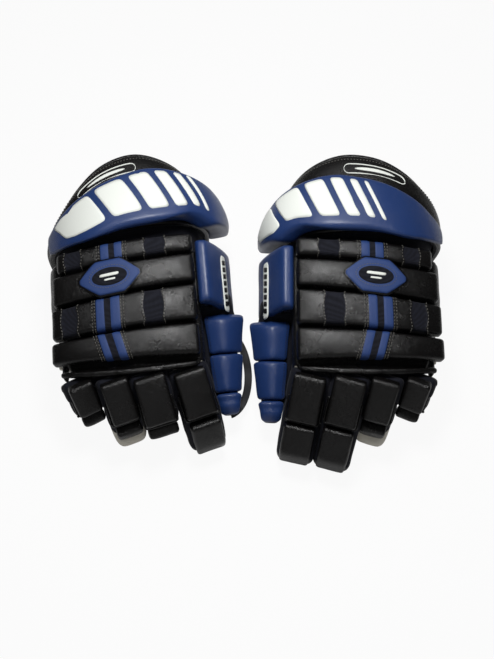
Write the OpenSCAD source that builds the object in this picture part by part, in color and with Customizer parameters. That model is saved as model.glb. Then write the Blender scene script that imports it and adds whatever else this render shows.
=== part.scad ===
// A pair of padded ice hockey gloves, size 14 inch, lying palm down with the
// fingers towards -Y and the cuffs towards +Y. Each glove is a hollow hand shell
// with a palm, hinged finger and thumb stalls, a hinged cuff, and leather-covered
// foam rolls. Every module draws the left-hand glove, whose thumb is at -X, and
// place() puts it on the table or mirrors it for the right hand.
// Pairs of values are [right hand, left hand].

/* [Pair] */
// Half the distance between the two gloves
pair_half = 118; // [116:1:150]
// How far each glove turns its fingers inwards, in degrees
glove_turn = [5.5, 0.5]; // [0:0.5:6]
// Shift that brings the middle of the pair's footprint to the origin, X and Y
pair_shift = [3.84, -19.01]; // [-20:0.01:20]

/* [Back of the hand] */
// Height of the shell over the table at the knuckles
roof_z = 79; // [77:0.5:82]
// Place of the knuckles along the glove
knuckle_y = -54; // [-56:0.5:-53]
// Rise of the back towards the wrist, in degrees
back_slope = 12; // [11:0.5:13]
// Radius of the back across the hand
back_radius = 260; // [245:5:280]
// Thickness of the leather and lining of the shell
wall = 5; // [4:0.5:6]
// Thickness of a back roll
roll_t = 16; // [13:0.5:17]
// Groove between two back rolls
roll_gap = 3.4; // [2.5:0.1:5]
// Roll edges on the thumb side, from the knuckles towards the wrist
thumb_side_edges = [6, 42, 82, 114, 136]; // [5:0.5:137]
// Roll edges on the little finger side
little_side_edges = [8, 33, 67, 101, 125]; // [5:0.5:126]
// Ends of the back rolls on the thumb side
thumb_side_end = -69; // [-70:0.5:-66]
// Ends of the back rolls on the little finger side, from the knuckles towards the wrist
little_side_ends = [76, 75, 73, 68]; // [64:0.5:78]

/* [Fingers: index, middle, ring, little] */
// Places of the knuckle hinges across the hand
finger_x = [-55, -16, 18.5, 53]; // [-56:0.5:53]
// How far each knuckle stands forward of the shell's edge
finger_forward = [4.5, 9, 9, 5]; // [4:0.5:10]
// Widths of the fingers
finger_w = [33, 32, 28, 25]; // [22:0.5:33]
// Lengths of the first joints
first_len = [47, 48, 43, 33]; // [32:0.5:49]
// Lengths of the second joints
second_len = [46, 50, 41, 28]; // [27:0.5:50]
// Lengths of the rolls on the second joints
tip_roll_len = [43, 47, 23, 17]; // [16:0.5:47]
// How far the first joints hang down at rest, in degrees, for each hand
droop = [[31, 30, 36, 49], [33, 33, 40, 51]]; // [28:1:54]
// How far the second joints bend on at rest, in degrees
curl = [[32, 85, 64, 58], [12, 13, 56, 58]]; // [10:1:86]
// How far the fingers turn towards the thumb, in degrees
splay = [[15, 13, 16, 22], [13, 15, 17, 22]]; // [8:0.5:26]
// Bend that each second joint still has room for, in degrees
curl_room = [[30, 10, 15, 10], [30, 30, 15, 10]]; // [8:1:32]
// Thickness of a finger roll
finger_roll_t = 13; // [11:0.5:14]
// Depth of a finger stall, back to palm side
stall_d = 24; // [22:0.5:24]

/* [Thumb] */
// Place of the thumb's base hinge
thumb_at = [-90.5, 6, 60]; // [-92:0.5:62]
// How far the thumb hangs down, in degrees
thumb_droop = 20; // [18:0.5:21]
// Ends of the three thumb segments, along the thumb from its hinge
thumb_ends = [39, 79, 100]; // [36:0.5:101]
// Widths of the thumb at its hinge and at its end
thumb_w = [32, 16]; // [15:0.5:32]

/* [Cuff] */
// Half the width of the liner tube
cuff_half = 86; // [84:0.5:87]
// Height of the liner tube over the table
cuff_z = 124; // [121:0.5:125]
// Thickness of the liner
liner_t = 8; // [6:0.5:9]
// Height of the cuff roll over the table
cuff_roll_z = 137; // [134:0.5:138]
// How far each cuff turns its thumb side back, in degrees
cuff_turn = [6, 0]; // [0:0.5:6]
// How far each cuff sits towards the thumb side
cuff_shift = [6, 0]; // [0:0.5:6]
// Place and height of the cuff's hinge line, which is under the first back roll
cuff_hinge = [73, 110]; // [70:0.5:112]

/* [Hidden] */
$fn = 48;
sides = ["right", "left"];
fingers = ["index", "middle", "ring", "pinky"];
finger_parts = ["roll", "stall", "tip_roll", "tip_stall"];
glove_parts = ["palm", "back_shell", "cuff_liner", "cuff_roll", "side_roll",
    "thumb_roll_base", "thumb_roll_mid", "thumb_roll_tip", "thumb_stall"];

gap = 0.4;            // room between two pieces that meet
far = 400;            // longer than the whole glove
back_axis = -10;      // where the back is highest across the hand
shell_end = 121;      // length of the hand shell along the back
shoulder_at = 62;     // where the shell widens for the base of the thumb
little_wall = 80;     // outside of the shell on the little finger side
hand_wall = 73;       // outside of the shell on the thumb side, at the knuckles
thumb_wall = 90;      // the same at the root of the thumb
palm_front = -46;     // place of the palm's edge at the fingers
palm_t = 6;           // thickness of the palm
palm_low = 4;         // height of the palm at the wrist
palm_rise = 14;       // rise of the palm towards the fingers, in degrees
palm_end = 66;        // place of the palm's end at the wrist
thumb_t = 14;         // thickness of a thumb roll
thumb_d = 19;         // depth of the thumb stall
stall_wall = 3.2;     // wall of a finger or thumb stall
opening_room = 11;    // degrees that a finger can open beyond its rest at the knuckle
thumb_room = 16;      // the same for the thumb stall, with the room it needs to close
cuff_mid = 56;        // height of the cuff's widest point
welt_arc = 514;       // radius of the knuckle welt's sweep across the hand
welt_d = 6;           // width of the welt
welt_ends = [-64, 68]; // where the welt stops, across the hand

navy = [0.15, 0.23, 0.43];
black = [0.12, 0.12, 0.13];
cream = [0.88, 0.86, 0.81];
grey = [0.25, 0.25, 0.26];

// height of the back's arc, x measured across the hand
function arc_z(x, r) = sqrt(r * r - pow(x - back_axis, 2)) - back_radius;
// one point of an arch: centre c, half width w, heights up and down, roundness n
function signed_pow(v, e) = (v < 0 ? -1 : 1) * pow(abs(v), e);
function arch_point(c, w, up, down, a) =
    let (n = sin(a) < 0 ? 5 : 2.3)
    [c[0] + w * signed_pow(cos(a), 2 / n), c[1] + (sin(a) < 0 ? down : up) * signed_pow(sin(a), 2 / n)];
function arch(c, w, up, down) = [for (a = [0:6:354]) arch_point(c, w, up, down, a)];
// knuckle hinge of finger f
function knuckle(f) = [finger_x[f], knuckle_y - finger_forward[f],
    roof_z - 3 - pow(finger_x[f] - back_axis, 2) / (2 * back_radius)];

module place(s) {
    translate([(s == 0 ? -pair_half : pair_half) + pair_shift[0], pair_shift[1], 0])
    rotate([0, 0, s == 0 ? glove_turn[0] : -glove_turn[1]])
    mirror([s == 0 ? 1 : 0, 0, 0])
    children();
}

// frame of the back: origin at the knuckles, Y up the slope, Z square to it
module on_back() {
    translate([0, knuckle_y, roof_z]) rotate([back_slope, 0, 0]) children();
}

// a profile drawn in X and Z, made solid from y0 to y1
module along(y0, y1) {
    translate([0, y1, 0]) rotate([90, 0, 0]) linear_extrude(y1 - y0) children();
}

// everything below a plane through y, z that rises towards -Y
module below_palm(lift) {
    translate([0, palm_end, palm_low + lift]) rotate([-palm_rise, 0, 0])
    translate([-far / 2, -far, -far]) cube([far, 2 * far, far]);
}

// section of the hand shell, inset by t, as wide as thumb_side on the thumb's side
module shell_profile(t, thumb_side) {
    r = back_radius - t;
    roof = [for (x = [little_wall - 6 - t : -6 : -70 + t]) [x, arc_z(x, r)]];
    low = -130;
    side = thumb_side > 80
        ? [[-81 + t, -16 - t / 2], [-88 + t, -30], [-thumb_side + t, -46], [-thumb_side + t, low]]
        : [[-thumb_side + t, -12 - t], [-thumb_side + t, low]];
    polygon(concat([[little_wall - t, low], [little_wall - t, -24 - t]], roof, side));
}

// the hand shell's outside when t is 0, or the room inside a wall of t, open at both ends
module shell_block(t) {
    on_back() {
        along(t > 0 ? -far / 2 : 0, shell_end + (t > 0 ? far : 0)) shell_profile(t, hand_wall);
        along(shoulder_at - (t > 0 ? far / 8 : 0), shell_end + (t > 0 ? far : 0))
            shell_profile(t, thumb_wall);
    }
}

// the slot in which the root of a finger stall turns
module knuckle_room(f, s) {
    translate(knuckle(f)) rotate([0, 0, -splay[s][f]])
    intersection() {
        rotate([0, 90, 0]) cylinder(r = stall_d + 5, h = finger_w[f] + 3, center = true);
        translate([-far / 2, -far / 2, -far]) cube(far);
    }
}

// padded welt over the knuckles, a band that follows the back and sweeps forward in the middle
module knuckle_welt() {
    sink = 2;
    on_back() intersection() {
        along(-welt_d, 0) difference() {
            translate([back_axis, -back_radius]) circle(back_radius + welt_d, $fn = 180);
            translate([back_axis, -back_radius]) circle(back_radius - wall + sink, $fn = 180);
        }
        translate([0, welt_arc, 0]) difference() {
            cylinder(r = welt_arc + welt_d, h = far, center = true, $fn = 180);
            cylinder(r = welt_arc - welt_d / 2, h = 2 * far, center = true, $fn = 180);
        }
        translate([welt_ends[0], -far / 2, -far / 2]) cube([welt_ends[1] - welt_ends[0], far, far]);
    }
}

module back_shell(s) {
    color(black) difference() {
        union() {
            difference() {
                shell_block(0);
                shell_block(wall);
                below_palm(palm_t + gap);
                translate([-far / 2, palm_end + 1, -far / 2]) cube(far);
            }
            knuckle_welt();
        }
        for (f = [0:3]) knuckle_room(f, s);
    }
}

module palm() {
    color(cream) difference() {
        intersection() {
            below_palm(palm_t);
            linear_extrude(far / 4) polygon([
                [-hand_wall, palm_front], [20, palm_front], [little_wall, palm_front + 22],
                [little_wall, palm_end], [-thumb_wall, palm_end], [-thumb_wall, 10], [-hand_wall, 10]]);
        }
        below_palm(0);
    }
}

// plan of a back roll on the slope, from its edge i - 1 to its edge i
module roll_outline(i) {
    a = thumb_side_edges;
    b = little_side_edges;
    end = little_side_ends[i - 1];
    polygon([
        [thumb_side_end, a[i - 1] + roll_gap / 2], [end, b[i - 1] + roll_gap / 2],
        [end, b[i] - roll_gap / 2], [thumb_side_end, a[i] - roll_gap / 2]]);
}

// back roll n, counted from the cuff
module backhand_roll(n) {
    i = 5 - n;
    color(black) on_back() intersection() {
        translate([back_axis, 0, -back_radius]) rotate([-90, 0, 0]) difference() {
            cylinder(r = back_radius + roll_t, h = far / 2, $fn = 180);
            translate([0, 0, -1]) cylinder(r = back_radius + gap, h = far, $fn = 180);
        }
        translate([0, 0, -50]) linear_extrude(100) roll_outline(i);
    }
}

// padded roll beside the back rolls, over the root of the thumb
module side_roll() {
    color(navy) on_back() along(shoulder_at, shell_end - 1) polygon([
        [-71.5, -7.2], [-71.5, 4], [-74, 7.5], [-80, 7], [-86, 3], [-93, -9], [-103, -30],
        [-107, -44], [-104.5, -50], [-92, -50], [-91, -45], [-89, -29], [-81.5, -14.8]]);
}

// loop of webbing beside the thumb, sewn under the edge of the palm
module strap() {
    band = 8;
    thick = 2.2;
    height = 13;
    function loop(grow, a) = [-90 + (26 + grow) * cos(a), -35 + (50 + grow) * sin(a)];
    outer = [for (a = [100:9:235]) loop(band / 2, a)];
    inner = [for (a = [235:-9:100]) loop(-band / 2, a)];
    color(grey) translate([0, 0, height]) linear_extrude(thick) polygon(concat(outer, inner));
}

// frame of finger f's first joint: origin at its hinge, -Y along it, Z out of its back
module on_finger(f, s) {
    translate(knuckle(f)) rotate([0, 0, -splay[s][f]]) rotate([droop[s][f], 0, 0]) children();
}

// the same for its second joint
module on_tip(f, s) {
    on_finger(f, s) translate([0, -first_len[f], 0]) rotate([curl[s][f], 0, 0]) children();
}

// everything behind the frame's X and Z plane, leaned forward by a degrees above it
module behind(a) {
    rotate([a, 0, 0]) translate([-far / 2, -gap, -far / 2]) cube([far, far, far]);
}

// everything ahead of a plane at length l, leaned back by a degrees above it
module ahead(l, a) {
    translate([0, -l, 0]) rotate([0, 0, 180]) behind(a);
}

// a profile drawn in Y and Z, w wide
module across(w) {
    rotate([90, 0, 90]) linear_extrude(w, center = true) children();
}

// roof-shaped profile of a roll, w wide and t thick, its bevels b
module roll_profile(w, t, b) {
    polygon([[-w / 2, gap], [w / 2, gap], [w / 2, t - b], [w / 2 - b, t], [-w / 2 + b, t], [-w / 2, t - b]]);
}

module finger_roll(f, s) {
    color(black) on_finger(f, s) difference() {
        along(-first_len[f], 0) roll_profile(finger_w[f], finger_roll_t, 4);
        behind(opening_room);
        ahead(first_len[f], 4);
    }
}

module finger_tip_roll(f, s) {
    t = finger_roll_t - 1;
    l = tip_roll_len[f];
    color(black) on_tip(f, s) difference() {
        intersection() {
            along(-l, 0) roll_profile(finger_w[f] - 1.5, t, 4);
            across(far) polygon([[0, 0], [0, t], [-l + 7, t], [-l + 2, t - 4], [-l, 0]]);
        }
        behind(4);
    }
}

module finger_stall(f, s) {
    w = finger_w[f] - 2;
    l = first_len[f];
    color(black) on_finger(f, s) difference() {
        translate([-w / 2, -l, -stall_d]) cube([w, l, stall_d]);
        translate([-w / 2 + stall_wall, -l - 1, -stall_d + stall_wall])
            cube([w - 2 * stall_wall, l + 2, stall_d - 2 * stall_wall]);
        behind(0);
        ahead(l, -(curl[s][f] + curl_room[s][f]) / 2 - 2);
    }
}

module finger_tip_stall(f, s) {
    w = finger_w[f] - 3.5;
    l = second_len[f];
    d = stall_d - 2;
    nose = 9;
    inside = stall_wall;
    color(cream) on_tip(f, s) difference() {
        across(w) polygon([[0, 0], [-l + 3, 0], [-l, -3], [-l, nose - d], [nose - l, -d], [0, -d]]);
        across(w - 2 * inside) polygon([[1, -inside], [inside + 2 - l, -inside], [inside + 1 - l, nose - d],
            [nose + 1 - l, inside - d], [1, inside - d]]);
        behind(-(curl[s][f] + curl_room[s][f]) / 2 - 2);
    }
}

// frame of the thumb: origin at its base hinge, -Y along it, Z out of its back
module on_thumb() {
    translate(thumb_at) rotate([thumb_droop, 0, 0]) children();
}

// half width of the thumb at length l
function thumb_half(l) = (thumb_w[0] + (thumb_w[1] - thumb_w[0]) * l / thumb_ends[2]) / 2;

module thumb_roll(from, to) {
    w = thumb_half((from + to) / 2);
    color(navy) on_thumb() along(-to + 1, -from - 1) polygon([
        [-w, gap], [w, gap], [w, 6], [w - 3, 9], [1, thumb_t], [-3, thumb_t], [-w + 2, 9], [-w, 6]]);
}

module thumb_base() {
    difference() {
        thumb_roll(0, thumb_ends[0]);
        on_thumb() behind(thumb_droop + opening_room);
    }
}

module thumb_tip() {
    w = 2 * thumb_half(thumb_ends[2]) + 1;
    start = thumb_ends[1];
    l = thumb_ends[2];
    deep = thumb_d - 2;
    thumb_roll(start + 1, l);
    color(navy) on_thumb() difference() {
        across(w) polygon([
            [-start - 2, gap], [-l, gap], [-l, 6 - deep], [6 - l, -deep], [-start - 6, -deep]]);
        across(w - 2 * stall_wall) polygon([[-start, -stall_wall], [stall_wall - l, -stall_wall],
            [stall_wall - l, 7 - deep], [8 - l, stall_wall - deep], [-start, stall_wall - deep]]);
    }
}

module thumb_stall() {
    w = thumb_w[0] - 6;
    l = thumb_ends[1];
    color(black) on_thumb() difference() {
        translate([-w / 2, -l, -thumb_d]) cube([w, l, thumb_d]);
        translate([-w / 2 + stall_wall, -l - 1, -thumb_d + stall_wall])
            cube([w - 2 * stall_wall, l + 2, thumb_d - 2 * stall_wall]);
        behind(-thumb_droop - thumb_room);
        ahead(l - 1, -14);
    }
}

// everything on the cuff's side of a plane through its hinge, leaned forward above it
module cuff_side(lean, room) {
    translate([-far / 2, cuff_hinge[0] + room, cuff_hinge[1]]) rotate([lean, 0, 0])
        translate([0, 0, -far]) cube([far, far, 2 * far]);
}

// turns a cuff about a point near its hinge, its thumb side backwards
module turned_cuff(s) {
    pivot = [30, 80, 0];
    translate(pivot - [cuff_shift[s], 0, 0]) rotate([0, 0, -cuff_turn[s]]) translate(-pivot) children();
}

// outline of the cuff's tube, wider all around by grow
module liner_arch(grow) {
    polygon(arch([2, cuff_mid], cuff_half + grow, cuff_z - cuff_mid + grow, cuff_mid + 2 + grow));
}

// The plan bounds the rounded rim, and the last plane lowers the rim towards the palm
module cuff_liner(s) {
    color(black) turned_cuff(s) difference() {
        intersection() {
            along(0, far / 2) liner_arch(0);
            linear_extrude(far) polygon([[-90, 60], [92, 60], [92, 118], [70, 139], [45, 157], [15, 170],
                [-20, 174], [-55, 165], [-78, 149], [-90, 132]]);
            cuff_side(14, 8.5);
            translate([-far / 2, 140, 0]) rotate([-65, 0, 0]) translate([0, -far, -far / 2])
                cube([far, far, far]);
        }
        along(-1, far / 2 + 1) liner_arch(-liner_t);
    }
}

// The plan bounds the band, and the profile ends it above the table on both sides
module cuff_roll(s) {
    color(navy) turned_cuff(s) difference() {
        intersection() {
            along(0, far / 2) polygon(arch([-8, cuff_mid], 96, cuff_roll_z - cuff_mid, cuff_mid));
            linear_extrude(far) polygon([[-106, 68], [-75, 82], [-35, 77.5], [4, 76], [35, 71], [66, 67],
                [92, 62], [92, 98], [75, 104], [55, 117], [27, 129], [-10, 138], [-40, 141], [-80, 133],
                [-98, 124], [-106, 112]]);
            cuff_side(22, 2);
            along(0, far) polygon([[-far, 40], [0, 40], [0, 93], [far, 93], [far, far], [-far, far]]);
        }
        along(-1, far / 2 + 1) liner_arch(gap);
    }
}

for (s = [0, 1]) {
    place(s) palm();
    place(s) back_shell(s);
    place(s) cuff_liner(s);
    place(s) cuff_roll(s);
    place(s) side_roll();
    place(s) thumb_base();
    place(s) thumb_roll(thumb_ends[0], thumb_ends[1]);
    place(s) thumb_tip();
    place(s) thumb_stall();
    for (i = [1:4])
        place(s) backhand_roll(i);
    for (f = [0:3]) {
        place(s) finger_roll(f, s);
        place(s) finger_stall(f, s);
        place(s) finger_tip_roll(f, s);
        place(s) finger_tip_stall(f, s);
    }
}
place(0) strap();  // right_strap
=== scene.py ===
from math import copysign, cos, exp, pi, radians, sin, sqrt, tan, tau

import bmesh
import bpy
from mathutils import Matrix, Vector, noise
from mathutils.bvhtree import BVHTree


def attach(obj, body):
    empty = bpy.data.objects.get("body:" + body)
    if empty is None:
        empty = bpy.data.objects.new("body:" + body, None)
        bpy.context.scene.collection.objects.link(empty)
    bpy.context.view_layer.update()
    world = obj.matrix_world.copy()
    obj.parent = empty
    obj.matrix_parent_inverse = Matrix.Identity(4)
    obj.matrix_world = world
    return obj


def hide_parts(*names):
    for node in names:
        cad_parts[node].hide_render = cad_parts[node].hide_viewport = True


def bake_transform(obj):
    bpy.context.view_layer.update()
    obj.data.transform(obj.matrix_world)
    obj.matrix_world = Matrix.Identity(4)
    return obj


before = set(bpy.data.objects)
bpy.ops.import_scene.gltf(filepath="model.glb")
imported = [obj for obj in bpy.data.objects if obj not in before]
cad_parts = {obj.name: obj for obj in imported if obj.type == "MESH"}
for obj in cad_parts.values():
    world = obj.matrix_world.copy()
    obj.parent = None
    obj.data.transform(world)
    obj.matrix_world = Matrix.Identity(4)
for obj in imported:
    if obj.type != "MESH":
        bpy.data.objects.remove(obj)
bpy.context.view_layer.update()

sides = ("right", "left")
fingerNames = ("index", "middle", "ring", "pinky")

# Camera, light and floor
shot = {"target": (0.00384, -0.01901, 0.06), "elevation": 62, "distance": 0.88, "lens": 62.74}


def aimCamera():
    up = radians(shot["elevation"])
    camera = bpy.data.objects.new("camera", bpy.data.cameras.new("camera"))
    bpy.context.scene.collection.objects.link(camera)
    camera.data.lens = shot["lens"]
    camera.data.sensor_width = 36
    camera.data.sensor_fit = "HORIZONTAL"
    camera.location = Vector(shot["target"]) + shot["distance"] * Vector((0, -cos(up), sin(up)))
    camera.rotation_euler = (pi / 2 - up, 0, 0)
    bpy.context.scene.camera = camera


studio = {
    "key": {"spot": (0, 0.1, 0.62), "size": 0.16, "power": 2.6},
    "back": {"spot": (0, 0.75, 1.3), "size": 1.2, "power": 3},
    "front": {"spot": (0, -1.1, 0.8), "size": 1, "power": 1.6},
    "aim": (0, 0, 0.06), "ambient": 0.16, "floorWhite": 0.93,
}


def addLamp(name, spot, size, power):
    lamp = bpy.data.objects.new(name, bpy.data.lights.new(name, "AREA"))
    lamp.data.size = size
    lamp.data.energy = power
    lamp.location = spot
    lamp.visible_camera = False
    lamp.rotation_euler = (Vector(studio["aim"]) - Vector(spot)).to_track_quat("-Z", "Y").to_euler()
    bpy.context.scene.collection.objects.link(lamp)


# Shader helpers

class Wire:  # a socket that takes part in sums
    def __init__(self, look, socket):
        self.look = look
        self.socket = socket

    def sum(self, operation, first, second):
        return self.look.node("ShaderNodeMath", {"operation": operation}, {0: first, 1: second})

    def __add__(self, other):
        return self.sum("ADD", self, other)

    def __radd__(self, other):
        return self.sum("ADD", other, self)

    def __sub__(self, other):
        return self.sum("SUBTRACT", self, other)

    def __rsub__(self, other):
        return self.sum("SUBTRACT", other, self)

    def __mul__(self, other):
        return self.sum("MULTIPLY", self, other)

    def __rmul__(self, other):
        return self.sum("MULTIPLY", other, self)


class Look:  # a material whose nodes are added one call at a time
    def __init__(self, data):
        data.use_nodes = True
        self.data = data
        self.tree = data.node_tree

    def plug(self, socket, value):
        if isinstance(value, Wire):
            self.tree.links.new(value.socket, socket)
        else:
            socket.default_value = value

    def node(self, kind, settings=None, sockets=None, out=0):
        made = self.tree.nodes.new(kind)
        for key, value in (settings or {}).items():
            if key == "stops":
                for place, colour in value[2:]:
                    made.color_ramp.elements.new(place)
                for element, (place, colour) in zip(made.color_ramp.elements, value):
                    element.position = place
                    element.color = colour
            else:
                setattr(made, key, value)
        for key, value in (sockets or {}).items():
            self.plug(made.inputs[key], value)
        return Wire(self, made.outputs[out])

    def mix(self, factor, first, second, blend="MIX"):
        return self.node("ShaderNodeMix", {"data_type": "RGBA", "blend_type": blend},
                         {0: factor, 6: first, 7: second}, 2)

    def noise(self, place, scale, detail=2, rough=0.5):
        return self.node("ShaderNodeTexNoise", None,
                         {"Vector": place, "Scale": scale, "Detail": detail, "Roughness": rough}, "Fac")

    def ramp(self, value, low, high):
        return self.node("ShaderNodeMapRange", {"interpolation_type": "SMOOTHSTEP"},
                         {"Value": value, "From Min": low, "From Max": high})

    def bump(self, height, distance, strength, normal=None):
        sockets = {"Height": height, "Distance": distance, "Strength": strength}
        if normal:
            sockets["Normal"] = normal
        return self.node("ShaderNodeBump", None, sockets)

    def ray(self, kind):
        return self.node("ShaderNodeLightPath", out=f"Is {kind} Ray")

    def paint(self, **sockets):  # Base_Color goes to the shader's Base Color, and so on
        for key, value in sockets.items():
            self.plug(self.shader.inputs[key.replace("_", " ")], value)


def linear(colour):  # sRGB 0-255 to the scene's linear colour
    made = []
    for part in colour:
        part = part / 255
        made.append(part / 12.92 if part <= 0.04045 else ((part + 0.055) / 1.055) ** 2.4)
    return (*made, 1)


def surfaceLook(name, **sockets):
    look = Look(bpy.data.materials.new(name))
    look.shader = look.tree.nodes["Principled BSDF"]
    look.place = look.node("ShaderNodeTexCoord", out="Object")
    look.paint(**sockets)
    return look


# Finishes
leathers = {
    "black_leather": {"colour": (13, 12, 12), "worn": (40, 38, 35), "rough": 0.26, "grain": 1150},
    "navy_leather": {"colour": (31, 56, 108), "worn": (52, 80, 134), "rough": 0.33, "grain": 1300},
    "stripe_leather": {"colour": (35, 62, 118), "worn": (52, 80, 136), "rough": 0.55, "grain": 1300},
    "cream_leather": {"colour": (226, 221, 208), "worn": (200, 190, 170), "rough": 0.62, "grain": 900},
}
coats = {"navy_leather": 0.2}  # a smoother, shinier finish


def leatherLook(name):
    facts = leathers[name]
    look = surfaceLook(name, Coat_Weight=coats.get(name, 0), Coat_Roughness=0.25, Specular_IOR_Level=0.4)
    cells = look.node("ShaderNodeTexVoronoi", {"feature": "DISTANCE_TO_EDGE"},
                      {"Vector": look.place, "Scale": facts["grain"]}, "Distance")
    pebble = look.ramp(cells, 0, 0.22)
    creases = look.noise(look.place, 210, 5, 0.62)
    clouds = look.noise(look.place, 34, 3, 0.55)
    scuffs = look.ramp(look.noise(look.place, 95, 6, 0.7), 0.56, 0.78)
    wear = scuffs * look.ramp(clouds, 0.42, 0.62)
    tone = look.mix(clouds * 0.5, linear(facts["colour"]), linear([part * 0.82 for part in facts["colour"]]))
    look.paint(Base_Color=look.mix(wear * 0.16, tone, linear(facts["worn"])),
               Roughness=facts["rough"] + (clouds - 0.5) * 0.12 + wear * 0.08,
               Normal=look.bump(pebble, 0.0002, 0.4, look.bump(creases, 0.0009, 0.22)))
    return look.data


fabrics = {
    "knit_fabric": {"colour": (25, 27, 38), "thread": (13, 14, 21), "pitch": 1.25, "rough": 0.88},
    "lining_fabric": {"colour": (44, 44, 48), "thread": (24, 24, 28), "pitch": 1.6, "rough": 0.95},
    "grey_webbing": {"colour": (66, 66, 68), "thread": (34, 34, 36), "pitch": 1.1, "rough": 0.8},
}


def fabricLook(name):
    facts = fabrics[name]
    look = surfaceLook(name, Sheen_Weight=0.04, Sheen_Roughness=0.5, Specular_IOR_Level=0.2)
    waves = []
    for axis in ("X", "Y", "Z"):
        waves.append(look.node("ShaderNodeTexWave", {"wave_type": "BANDS", "bands_direction": axis},
                               {"Vector": look.place, "Scale": 314 / facts["pitch"], "Distortion": 0.6,
                                "Detail": 1}, "Fac"))
    weave = (waves[0] + waves[1] + waves[2]) * 0.333
    fluff = look.noise(look.place, 420, 4, 0.6)
    shade = look.ramp(weave, 0.25, 0.75)
    base = look.mix(shade, linear(facts["thread"]), linear(facts["colour"]))
    look.paint(Base_Color=look.mix(fluff * 0.25, base, linear(facts["thread"])),
               Roughness=facts["rough"] - shade * 0.12,
               Normal=look.bump(weave * 0.7 + fluff * 0.3, 0.0006, 0.6))
    return look.data


def printLook():
    look = surfaceLook("white_print")
    speck = look.noise(look.place, 800, 3, 0.6)
    cracks = look.ramp(look.noise(look.place, 260, 6, 0.7), 0.62, 0.74)
    worn = speck * 0.18 + cracks * 0.25
    look.paint(Base_Color=look.mix(worn, linear((233, 236, 229)), linear((196, 203, 204))),
               Roughness=0.48 + speck * 0.15, Normal=look.bump(speck, 0.0002, 0.3))
    return look.data


def threadLook(name, colour):
    look = surfaceLook(name)
    twist = look.noise(look.place, 2200, 2, 0.5)
    look.paint(Base_Color=look.mix(twist, linear(colour), linear([part * 0.6 for part in colour])),
               Roughness=0.6 + twist * 0.2, Normal=look.bump(twist, 0.0002, 0.5))
    return look.data


looks = {name: leatherLook(name) for name in leathers}
looks.update({name: fabricLook(name) for name in fabrics})
looks["white_print"] = printLook()
looks["grey_thread"] = threadLook("grey_thread", (112, 110, 104))
looks["dark_thread"] = threadLook("dark_thread", (20, 20, 24))
print("finishes ready")


def setStudio():
    scene = bpy.context.scene
    scene.view_settings.view_transform = "Standard"
    for name in ("key", "back", "front"):
        addLamp(name, **studio[name])
    scene.world = bpy.data.worlds.new("studio")
    look = Look(scene.world)
    sky = look.tree.nodes["Background"]
    ambient = studio["ambient"]
    look.plug(sky.inputs["Color"], (1, 1, 1, 1))
    look.plug(sky.inputs["Strength"], ambient + look.ray("Camera") * (1 - ambient)
              - look.ray("Glossy") * (0.75 * ambient))


def addFloor():
    bm = bmesh.new()
    bmesh.ops.create_grid(bm, x_segments=2, y_segments=2, size=3)
    mesh = bpy.data.meshes.new("floor")
    bm.to_mesh(mesh)
    bm.free()
    floor = bpy.data.objects.new("floor", mesh)
    bpy.context.scene.collection.objects.link(floor)
    look = surfaceLook("floor_white", Roughness=0.9)
    grain = look.noise(look.place, 40)
    look.paint(Base_Color=look.mix(grain, (0.86, 0.86, 0.86, 1), (0.82, 0.82, 0.82, 1)))
    glow = look.node("ShaderNodeEmission", None, {"Color": (1, 1, 1, 1), "Strength": 1})
    seen = look.ray("Camera") * studio["floorWhite"] + look.ray("Glossy") * 0.1 + look.ray("Transmission")
    share = look.node("ShaderNodeMath", {"operation": "MINIMUM"}, {0: seen, 1: 1})
    both = look.node("ShaderNodeMixShader", None,
                     {0: share, 1: Wire(look, look.shader.outputs[0]), 2: glow})
    look.plug(look.tree.nodes["Material Output"].inputs["Surface"], both)
    mesh.materials.append(look.data)


aimCamera()
setStudio()
addFloor()
print("camera, lamps and floor ready")

# Places. Every piece is shaped in millimetres in the left-hand glove's own frame
pair = {"half": 118, "turn": {"right": 5.5, "left": -0.5}, "shift": (3.84, -19.01)}


def gloveMatrix(side):
    sign = -1 if side == "right" else 1
    spot = Vector((pair["shift"][0] + sign * pair["half"], pair["shift"][1], 0))
    turn = Matrix.Rotation(radians(pair["turn"][side]), 4, "Z")
    return Matrix.Scale(0.001, 4) @ Matrix.Translation(spot) @ turn @ Matrix.Diagonal((sign, 1, 1, 1))


def frameAt(spot, *turns):
    made = Matrix.Translation(spot)
    for axis, degrees in turns:
        made = made @ Matrix.Rotation(radians(degrees), 4, axis)
    return made


rightCuff = {"turn": -6, "about": (-30, -80, 0), "to": (24, 80, 0)}


def cuffTurn(side):  # the right cuff lies turned back and shifted towards the thumb
    if side == "left":
        return Matrix.Identity(4)
    return frameAt(rightCuff["to"], ("Z", rightCuff["turn"])) @ Matrix.Translation(rightCuff["about"])


def lerp(a, b, t):
    return a + (b - a) * t


def smooth(low, high, value):
    t = max(0, min(1, (value - low) / (high - low)))
    return t * t * (3 - 2 * t)


def along(points, t):  # the place at share t of a line drawn through points
    t = max(0, min(0.99999, t)) * (len(points) - 1)
    k = int(t)
    return lerp(Vector(points[k]), Vector(points[k + 1]), t - k)


# Mesh helpers

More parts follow.
